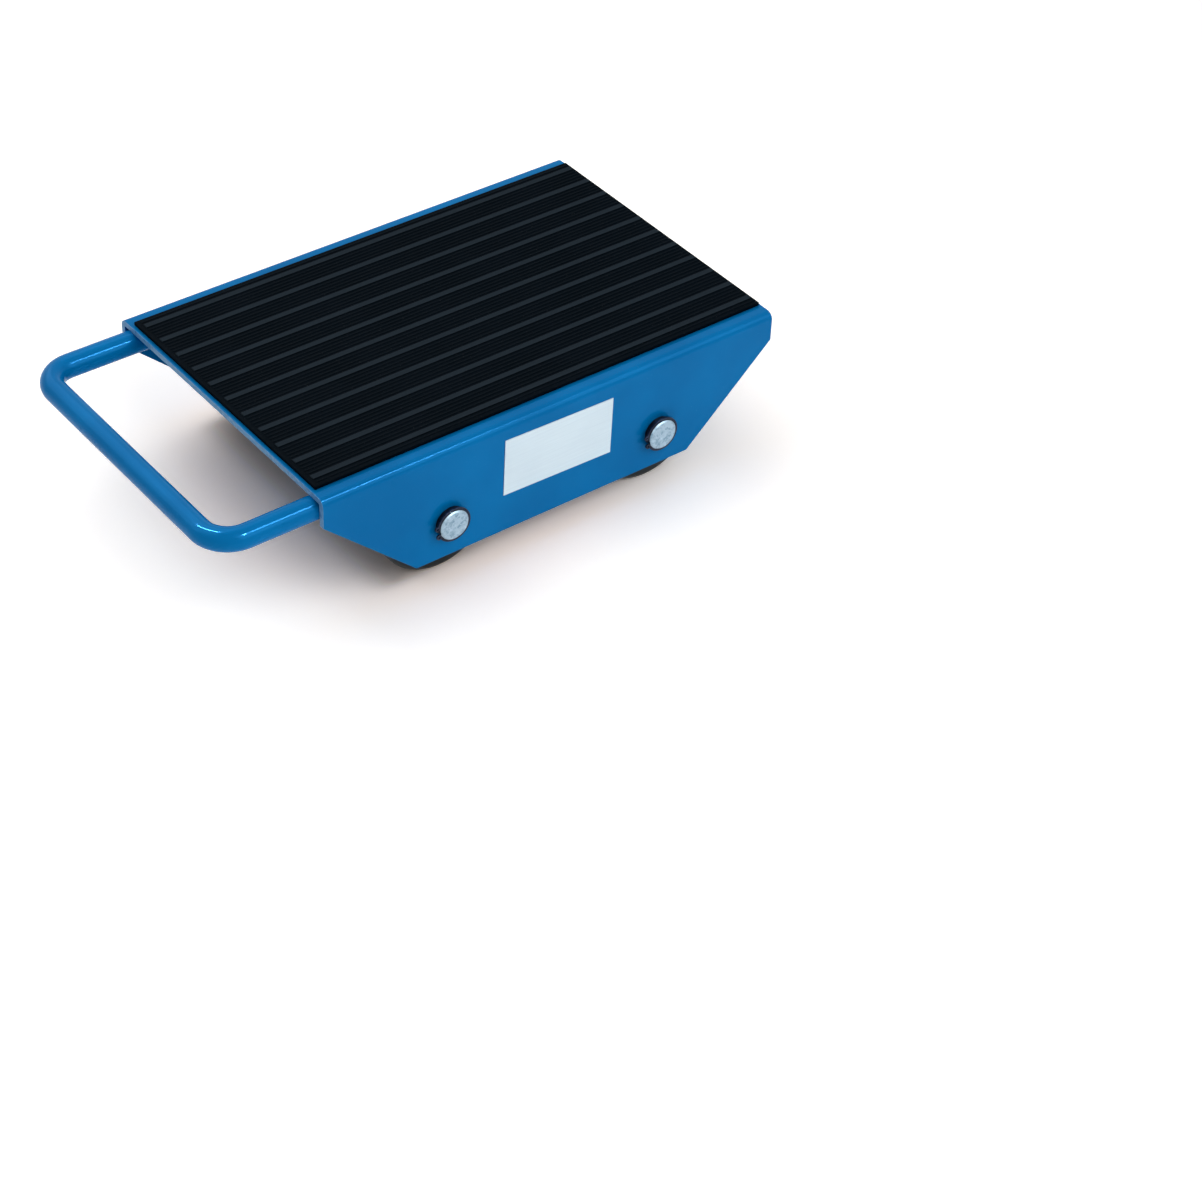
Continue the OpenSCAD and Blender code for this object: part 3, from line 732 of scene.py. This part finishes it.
def makeWeld(name, seams, radius, extras, seed, node):
    # seams are lines in mm; extras are single drops (x, y, z, radius) in mm
    drop = bmesh.new()
    bmesh.ops.create_icosphere(drop, subdivisions=2, radius=1.0)
    dropMesh = bpy.data.meshes.new("weldDrop")
    drop.to_mesh(dropMesh)
    drop.free()
    dropObject = linked("weldDrop", dropMesh)
    sizes = {"Drop pitch": weldBead["Drop pitch"], "Drop radius": radius * mm,
             "Radius spread": weldBead["Radius spread"], "Seed": seed,
             "Material": finishes["weldPaint"], "Drop": dropObject}
    sheet, size = newTree("weldSeam", sizes)
    line = sheet.node("GeometryNodeMeshToCurve", {}, {"Mesh": size("Geometry")})
    spots = sheet.node("GeometryNodeCurveToPoints", {"mode": "LENGTH"}, {"Curve": line, "Length": size("Drop pitch")})
    turnedSpots = Wire(sheet, spots.socket.node.outputs["Rotation"])
    low = size("Drop radius") - size("Radius spread")
    high = size("Drop radius") + size("Radius spread") * 0.4
    girth = sheet.node("FunctionNodeRandomValue", {"data_type": "FLOAT"}, {2: low, 3: high, "Seed": size("Seed")}, 1)
    shapeIn = sheet.node("GeometryNodeObjectInfo", {}, {"Object": size("Drop")}, 4)
    drops = sheet.node("GeometryNodeInstanceOnPoints", {}, {
        "Points": spots, "Instance": shapeIn, "Rotation": turnedSpots,
        "Scale": sheet.joined(girth, girth, girth * weldWork["flatness"])})
    endTree(sheet, drops, size("Material"))
    piece = grown(linked(name, lineMesh(name, seams)), sheet, sizes)
    solid = bmesh.new()
    solid.from_mesh(piece.data)
    for x, y, z, r in extras:
        place = Matrix.Translation(Vector((x, y, z)) * mm)
        bmesh.ops.create_icosphere(solid, subdivisions=2, radius=r * mm, matrix=place)
    solid.to_mesh(piece.data)
    solid.free()
    bpy.data.objects.remove(dropObject)
    melt = piece.modifiers.new("melt", "REMESH")
    melt.mode = "VOXEL"
    melt.voxel_size = weldWork["voxel"] * mm
    melt.use_smooth_shade = True
    calm = piece.modifiers.new("calm", "SMOOTH")
    calm.factor = 0.5
    calm.iterations = weldWork["smooth"]
    settled(piece)
    return fitted(piece, "weldPaint", "chassis", node)


def weldSplash(random, middle, spread, count, sizes, underZ):
    # small drops that froze on the plate round a weld
    drops = []
    for _ in range(count):
        x = middle[0] + random.normal() * spread[0]
        y = middle[1] + random.normal() * spread[1]
        r = sizes[0] + random.random() * (sizes[1] - sizes[0])
        drops.append((x, y, underZ + r * 0.25, r))
    return drops


def makeWelds():
    random = np.random.default_rng(41)
    under = skate["deckZ"] - skate["plate"]
    # the two ends of the web, each with a bead on both sides and a pool in front
    seams, extras = [], []
    inset, off, drops = webWeld["topInset"], webWeld["offWeb"], webWeld["poolDrops"]
    for endX, way in ((skate["frontX"] + inset, 1), (skate["rearX"] - inset, -1)):
        for side in (1, -1):
            y = side * (skate["web"] + off)
            seams.append([(endX + way * webWeld[at], y, under - off) for at in ("start", "end")])
        for k in range(drops):
            turn = math.pi * (k + 0.5) / drops + math.pi / 2
            reach = 2.0 + 3.8 * random.random()
            x = endX + way * (math.cos(turn) * reach)
            extras.append((x, math.sin(turn) * reach, under + 0.2, 2.2 + 1.2 * random.random()))
        extras += weldSplash(random, (endX - way * 3.0, 3.0), (2.4, 3.4), 10, (0.45, 0.9), under)
    makeWeld("webWelds", seams, weldWork["beadRadius"], extras, 7, "web_welds")
    # the upright beads in front of the cross plates
    seams, extras = [], []
    faceX, off = skate["stiffenerX"] - crossWeld["halfPlate"], crossWeld["offFace"]
    low, high = crossWeld["foot"], under - crossWeld["head"]
    for side in (1, -1):
        for y, way in ((skate["web"], 1), (skate["flangeInside"], -1)):
            seams.append([(faceX - off, side * (y + way * off), z) for z in (low, high)])
            extras += [(faceX - 0.3 - 2.6 * random.random(), side * (y + way * (0.4 + 2.6 * random.random())),
                        low - 1.5 + 2.2 * random.random(), 1.2 + 1.1 * random.random())
                       for _ in range(crossWeld["spots"])]
    makeWeld("crossPlateWelds", seams, weldWork["beadRadius"], extras, 11, "stiffener_welds")
    # the handle's legs and the spot beside one of them
    leg = legWeld
    seams = [[(x, side * leg["y"], under - leg["drop"]) for x in (leg["front"], leg["rear"])] for side in (1, -1)]
    extras = []
    for k in range(leg["spotDrops"]):
        reach, turn = (k % 3) / 2, k * 2.1
        extras.append((leg["spotX"] + 2.4 * math.cos(turn) * reach, leg["spotY"] + 2.0 * math.sin(turn) * reach,
                       under + 0.3, 1.5))
    makeWeld("handleWelds", seams, weldWork["legBeadRadius"], extras, 13, "handle_welds")


makeWelds()
print("welds made")


# axles, clips and what sits still on them

axleEnd = {
    "halfLength": 117.0, "chamfer": 0.8, "groove": 0.5, "grooveAt": 114.7, "grooveWidth": 1.3,
    "darkFrom": 106, "darkRadius": 9,
}
clipEdge = 0.14


def axleOutline():
    end = axleEnd
    r = skate["axleRadius"]
    half = [(0, end["halfLength"]), (r - end["chamfer"], end["halfLength"], 0.15),
            (r, end["halfLength"] - end["chamfer"], 0.15), (r, end["grooveAt"] + end["grooveWidth"], 0.08),
            (r - end["groove"], end["grooveAt"] + end["grooveWidth"]), (r - end["groove"], end["grooveAt"]),
            (r, end["grooveAt"], 0.08)]
    whole = half + [(p[0], -p[1], *p[2:]) for p in reversed(half)]
    return eased(whole, 3)


def darkStubSide(radius, along):
    # the round side of the axle outside the flange, which is drawn dark
    limit = axleEnd["halfLength"] - axleEnd["chamfer"] - 0.05
    return 1.0 if axleEnd["darkFrom"] < abs(along) < limit and radius > axleEnd["darkRadius"] else 0.0


for place, x in skate["axleX"].items():
    fitted(turned(place + "Axle", [axleOutline()], (x, skate["axleZ"]), 96, darkStubSide),
           "zincPlate", "chassis", place + "_axle")
fitted(cadPlate("axleClips", "axle_circlips", clipEdge, 2), "clipSteel", "chassis", "axle_circlips")

tubes = {"outer": 12.4, "inner": 10.02, "edge": 0.35, "boreEdge": 0.2}


def tubeOutline(near, far):
    inner, outer, edge, boreEdge = (tubes[k] for k in ("inner", "outer", "edge", "boreEdge"))
    return eased([(inner, near, boreEdge), (outer, near, edge), (outer, far, edge), (inner, far, boreEdge)], 2)


bearing = {"ringWall": 3.3, "pitchRadius": 16.75, "trackRadius": 4.07, "edge": 0.7, "seal": 0.8, "sealInset": 0.4}


def trackPoints(shoulder, start):
    # the ball track as it is cut into a ring's shoulder, from one side to the other
    half = math.sqrt(bearing["trackRadius"] ** 2 - (shoulder - bearing["pitchRadius"]) ** 2)
    middle = start + skate["bearingWidth"] / 2
    points = []
    for k in range(7):
        along = -half + 2 * half * k / 6
        deep = math.sqrt(bearing["trackRadius"] ** 2 - along ** 2)
        way = 1 if shoulder > bearing["pitchRadius"] else -1
        points.append((bearing["pitchRadius"] + way * deep, middle + along))
    return points


def ringOutline(inside, outside, start, track):
    # a bearing ring; its track is on the inside of the outer ring or the outside of the inner one
    end = start + skate["bearingWidth"]
    e = bearing["edge"]
    if track == "inside":
        corners = [(inside, end, 0.3), (outside, end, e), (outside, start, e), (inside, start, 0.3)]
        return eased(corners + trackPoints(inside, start), 3)
    corners = [(outside, start, 0.3), (inside, start, e), (inside, end, e), (outside, end, 0.3)]
    return eased(corners + list(reversed(trackPoints(outside, start))), 3)


bearingStarts = [skate["rollerNear"], skate["rollerFar"] - skate["bearingWidth"]]
# a ring is drawn a little off the piece that it's pressed on
ringRoom = 0.02
innerShoulder = skate["axleRadius"] + bearing["ringWall"]
outerShoulder = skate["bearingRadius"] - bearing["ringWall"]

for place, x in skate["axleX"].items():
    centre = (x, skate["axleZ"])
    near, far, width = skate["rollerNear"], skate["rollerFar"], skate["bearingWidth"]
    rows = {"Inner": (near + width, far - width), "Web": (skate["web"], near), "Flange": (far, skate["flangeInside"])}
    for kind, (start, end) in rows.items():
        fitted(turned(place + kind + "Spacers", [inBay(tubeOutline(start, end), side) for side in sides], centre, 72),
               "zincPlate", "chassis", place + "_" + kind.lower() + "_spacers")
    rings = [inBay(ringOutline(skate["axleRadius"] + ringRoom, innerShoulder, start, "outside"), side)
             for side in sides for start in bearingStarts]
    fitted(turned(place + "InnerRings", rings, centre, 72), "bearingSteel", "chassis", place + "_inner_rings")
print("axles made")


# rollers with their outer rings and seals

roller = {"edge": 4, "boreEdge": 0.5, "core": 19.4, "stepEdge": 0.3}


def rollerOutline():
    r, near, far, width = skate["rollerRadius"], skate["rollerNear"], skate["rollerFar"], skate["bearingWidth"]
    bore = skate["bearingRadius"]
    core, step = roller["core"], roller["stepEdge"]
    outline = [(bore, near, roller["boreEdge"]), (r, near, roller["edge"]), (r, far, roller["edge"]),
               (bore, far, roller["boreEdge"]), (bore, far - width, step), (core, far - width, step),
               (core, near + width, step), (bore, near + width, step)]
    return eased(outline, 8)


def sealOutline(face, inward):
    # a rubber seal with a lip and a shallow groove on its outer side; inward points into the bearing
    low, high = innerShoulder + 0.3, outerShoulder - 0.02
    t = bearing["seal"]
    relief = [(low, 0.25), (low + 0.5, 0.05), (low + 1.3, 0.05), (low + 1.7, 0.3), (high - 2.0, 0.3),
              (high - 1.6, 0.0), (high - 0.4, 0.0), (high, 0.2)]
    outline = [(r, d, 0.12) for r, d in relief] + [(high, t, 0.1), (low, t, 0.1)]
    return [(r, face + inward * d) for r, d in eased(outline, 2)]


for place, x in skate["axleX"].items():
    for side in sides:
        bayName, node = place + side.capitalize(), place + "_" + side
        body = node + "_roller"
        centre = (x, skate["axleZ"])
        whole = turned(bayName + "Roller", [inBay(rollerOutline(), side)], centre, 144)
        fitted(whole, "blackNylon", body, node + "_roller")
        rings = [inBay(ringOutline(outerShoulder, skate["bearingRadius"] - ringRoom, start, "inside"), side)
                 for start in bearingStarts]
        fitted(turned(bayName + "OuterRings", rings, centre, 96), "bearingSteel", body, node + "_outer_rings")
        seals = []
        for start in bearingStarts:
            seals.append(inBay(sealOutline(start + bearing["sealInset"], 1), side))
            seals.append(inBay(sealOutline(start + skate["bearingWidth"] - bearing["sealInset"], -1), side))
        fitted(turned(bayName + "Seals", seals, centre, 96), "sealRubber", body, node + "_seals")
print("rollers made")


# balls and cages stay as the frame has them and take their finish here

for place in skate["axleX"]:
    for side in sides:
        for kind, finishName in (("_balls", "bearingSteel"), ("_cages", "cageBrass")):
            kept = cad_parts[place + "_" + side + kind]
            kept.data.materials.clear()
            kept.data.materials.append(finishes[finishName])


# floor, light and camera

floor = {
    "size": 8.0, "shown": 1.38, "plain": 0.8, "glow": 0.22, "near": 0.42, "far": 0.95,
    "tint": (1.09, 0.975, 0.89, 1.0), "tintNear": 0.10, "farTint": (0.99, 0.99, 0.965, 1.0), "tintFar": 0.185,
    "shade": 0.42, "shadeFront": (-0.096, -0.07), "shadeRear": (-0.035, 0.0), "shadeSide": (0.094, 0.107),
    "lift": 1.07, "liftFront": (-0.125, -0.095),
}
world = {"colour": (1.06, 0.985, 0.965, 1.0), "strength": 0.62, "frontShare": 0.15, "frontReach": (-0.8, 0.2)}
lamps = {
    "keyBack": {"azimuth": 118, "elevation": 52, "away": 1.9, "size": (2.7, 2.0), "power": 21, "diffuse": True},
    "fillFront": {"azimuth": -70, "elevation": 38, "away": 2.1, "size": (2.0, 1.4), "power": 16, "diffuse": True},
    "glintLeft": {"azimuth": 122, "elevation": 63, "away": 1.9, "size": (0.16, 0.8), "power": 45, "diffuse": False},
    "stripRight": {
        "azimuth": -57, "elevation": 51, "away": 1.7, "size": (0.36, 0.14), "power": 5.5, "diffuse": False},
    "glintFront": {"azimuth": -82, "elevation": 53, "away": 1.9, "size": (0.13, 0.13), "power": 22, "diffuse": False},
}
lampAim = Vector((0.0, 0.0, 0.07))


def shownRays(sheet):
    # camera, glossy and transmission rays see the backdrop white
    rays = sheet.tree.nodes.new("ShaderNodeLightPath")
    seen = Wire(sheet, rays.outputs["Is Camera Ray"])
    for name in ("Is Glossy Ray", "Is Transmission Ray"):
        seen = seen.worked("MAXIMUM", seen, Wire(sheet, rays.outputs[name]))
    return seen


def makeFloor():
    half = floor["size"] / 2
    mesh = bpy.data.meshes.new("studioFloor")
    mesh.from_pydata([(-half, -half, 0), (half, -half, 0), (half, half, 0), (-half, half, 0)], [], [(0, 1, 2, 3)])
    ground = linked("studioFloor", mesh)
    material = bpy.data.materials.new("studioFloor")
    material.use_nodes = True
    material.node_tree.nodes.clear()
    sheet = Sheet(material.node_tree)
    seen = shownRays(sheet)
    place = sheet.node("ShaderNodeTexCoord", {}, {}, 3)
    away = sheet.node("ShaderNodeVectorMath", {"operation": "LENGTH"}, {0: place}, 1)
    close, remote = (tuple(floor["shown"] * c for c in floor[kind]) for kind in ("tint", "farTint"))
    bright = sheet.blend(sheet.between(away, floor["tintNear"], floor["tintFar"]), close, remote)
    # less light reaches the floor between the rollers
    along, across = sheet.split(place)[:2]
    shade = sheet.between(along, *floor["shadeFront"]) * (1 - sheet.between(along, *floor["shadeRear"]))
    shade = shade * (1 - sheet.between(across.worked("ABSOLUTE", across), *floor["shadeSide"])) * floor["shade"]
    bright = sheet.blend(shade, bright, (0.0, 0.0, 0.0, 1.0))
    # painted light: the floor in front of the skate is drawn a little lighter
    lift = sheet.between(along, *floor["liftFront"], floor["lift"], 1.0)
    bright = sheet.node("ShaderNodeVectorMath", {"operation": "SCALE"}, {0: bright, 3: lift})
    plain = (floor["plain"],) * 3 + (1.0,)
    cloth = sheet.node("ShaderNodeBsdfDiffuse", {}, {"Color": sheet.blend(seen, plain, bright)})
    # the pale studio floor lights the underside a little
    glow = sheet.node("ShaderNodeEmission", {}, {"Color": (1, 1, 1, 1), "Strength": (1 - seen) * floor["glow"]})
    cloth = sheet.node("ShaderNodeAddShader", {}, {0: cloth, 1: glow})
    white = sheet.node("ShaderNodeEmission", {}, {"Color": (1, 1, 1, 1), "Strength": 1.0})
    faded = sheet.between(away, floor["near"], floor["far"]) * seen
    lit = sheet.node("ShaderNodeMixShader", {}, {0: faded, 1: cloth, 2: white})
    # seen from below the floor is clear, so the underside shows
    under = sheet.node("ShaderNodeNewGeometry", {}, {}, 6) * seen
    clear = sheet.node("ShaderNodeBsdfTransparent")
    final = sheet.node("ShaderNodeMixShader", {}, {0: under, 1: lit, 2: clear})
    out = material.node_tree.nodes.new("ShaderNodeOutputMaterial")
    material.node_tree.links.new(final.socket, out.inputs[0])
    mesh.materials.append(material)


def makeWorld():
    sky = bpy.data.worlds.new("studioAir")
    bpy.context.scene.world = sky
    sky.use_nodes = True
    sky.node_tree.nodes.clear()
    sheet = Sheet(sky.node_tree)
    seen = shownRays(sheet)
    # the air in front of the handle is darker
    ahead = sheet.split(sheet.node("ShaderNodeTexCoord"))[0]
    strength = sheet.between(ahead, *world["frontReach"], world["frontShare"] * world["strength"], world["strength"])
    dim = sheet.node("ShaderNodeBackground", {}, {"Color": world["colour"], "Strength": strength})
    white = sheet.node("ShaderNodeBackground", {}, {"Color": (1, 1, 1, 1), "Strength": 1.0})
    final = sheet.node("ShaderNodeMixShader", {}, {0: seen, 1: dim, 2: white})
    out = sky.node_tree.nodes.new("ShaderNodeOutputWorld")
    sky.node_tree.links.new(final.socket, out.inputs[0])


def makeLamps():
    for name, lamp in lamps.items():
        data = bpy.data.lights.new(name, "AREA")
        data.shape = "RECTANGLE"
        data.size, data.size_y = lamp["size"]
        data.energy = lamp["power"]
        turn, lift = math.radians(lamp["azimuth"]), math.radians(lamp["elevation"])
        back = Vector((math.cos(turn) * math.cos(lift), math.sin(turn) * math.cos(lift), math.sin(lift)))
        lampObject = bpy.data.objects.new(name, data)
        bpy.context.scene.collection.objects.link(lampObject)
        lampObject.location = lampAim + back * lamp["away"]
        lampObject.visible_diffuse = lamp["diffuse"]
        lampObject.rotation_mode = "QUATERNION"
        lampObject.rotation_quaternion = (-back).to_track_quat("-Z", "Y")


cameraView = {"place": (-0.81607, -1.20989, 1.10008), "turn": 50.985, "tilt": -39.770, "roll": 2.471, "lens": 86.88}


def makeCamera():
    view = cameraView
    data = bpy.data.cameras.new("photoCamera")
    data.lens = view["lens"]
    data.sensor_width = 36
    data.clip_start, data.clip_end = 0.05, 50
    turn, tilt, roll = (math.radians(view[k]) for k in ("turn", "tilt", "roll"))
    ahead = Vector((math.cos(tilt) * math.cos(turn), math.cos(tilt) * math.sin(turn), math.sin(tilt)))
    level = ahead.cross(Vector((0, 0, 1))).normalized()
    above = level.cross(ahead)
    right = math.cos(roll) * level + math.sin(roll) * above
    top = math.cos(roll) * above - math.sin(roll) * level
    camera = bpy.data.objects.new("photoCamera", data)
    bpy.context.scene.collection.objects.link(camera)
    facing = Matrix((right, top, -ahead)).transposed().to_4x4()
    camera.matrix_world = Matrix.Translation(Vector(view["place"])) @ facing
    bpy.context.scene.camera = camera


makeFloor()
makeWorld()
makeLamps()
makeCamera()
bpy.context.scene.view_settings.view_transform = "Standard"
print("floor, light and camera made")
